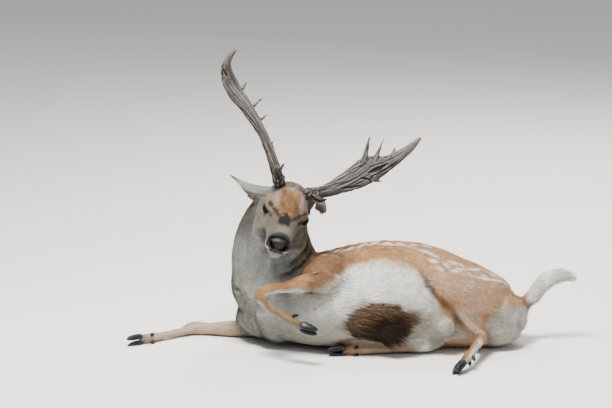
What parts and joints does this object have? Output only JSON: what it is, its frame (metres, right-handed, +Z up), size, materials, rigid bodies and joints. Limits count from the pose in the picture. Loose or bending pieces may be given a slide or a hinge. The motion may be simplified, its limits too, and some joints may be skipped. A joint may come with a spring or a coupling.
{
  "type": "fallow deer buck, lying",
  "caption": "Life-size still model of a lying fallow deer buck with palmate antlers, its head raised and turned to its side",
  "frame": {"origin": "Middle of the bounding box in X and Y, on the floor that the deer lies on.", "axes": "+Z is up. +X runs from the head end to the tail. -Y is the side that the belly and the face look to, and +Y is the side of the back."},
  "size_m": [1.407, 0.5902, 0.9294],
  "materials": {
    "coat": "short tan and white hair",
    "hoof_horn": "dark slate horn, worn at the edge",
    "eye": "dark and wet",
    "nose_leather": "damp black pebbled skin",
    "antler_bone": "grooved grey-brown bone, paler on the ridges"
  },
  "bodies": {
    "root": {"antler_left_beam": "antler_bone", "antler_left_brow_tine": "antler_bone", "antler_left_palm": "antler_bone", "antler_right_beam": "antler_bone", "antler_right_brow_tine": "antler_bone", "antler_right_palm": "antler_bone", "dewclaw_left_fore_under": "hoof_horn", "dewclaw_left_fore_upper": "hoof_horn", "dewclaw_left_hind_under": "hoof_horn", "dewclaw_left_hind_upper": "hoof_horn", "dewclaw_right_fore_under": "hoof_horn", "dewclaw_right_fore_upper": "hoof_horn", "dewclaw_right_hind_under": "hoof_horn", "dewclaw_right_hind_upper": "hoof_horn", "ear_left": "coat", "ear_right": "coat", "eye_left": "eye", "eye_right": "eye", "foreleg_left": "coat", "foreleg_right": "coat", "head": "coat", "hindleg_left": "coat", "hindleg_right": "coat", "hoof_left_fore_under": "hoof_horn", "hoof_left_fore_upper": "hoof_horn", "hoof_left_hind_under": "hoof_horn", "hoof_left_hind_upper": "hoof_horn", "hoof_right_fore_under": "hoof_horn", "hoof_right_fore_upper": "hoof_horn", "hoof_right_hind_under": "hoof_horn", "hoof_right_hind_upper": "hoof_horn", "neck": "coat", "nose": "nose_leather", "tail": "coat", "trunk": "coat"}
  },
  "joints": []
}
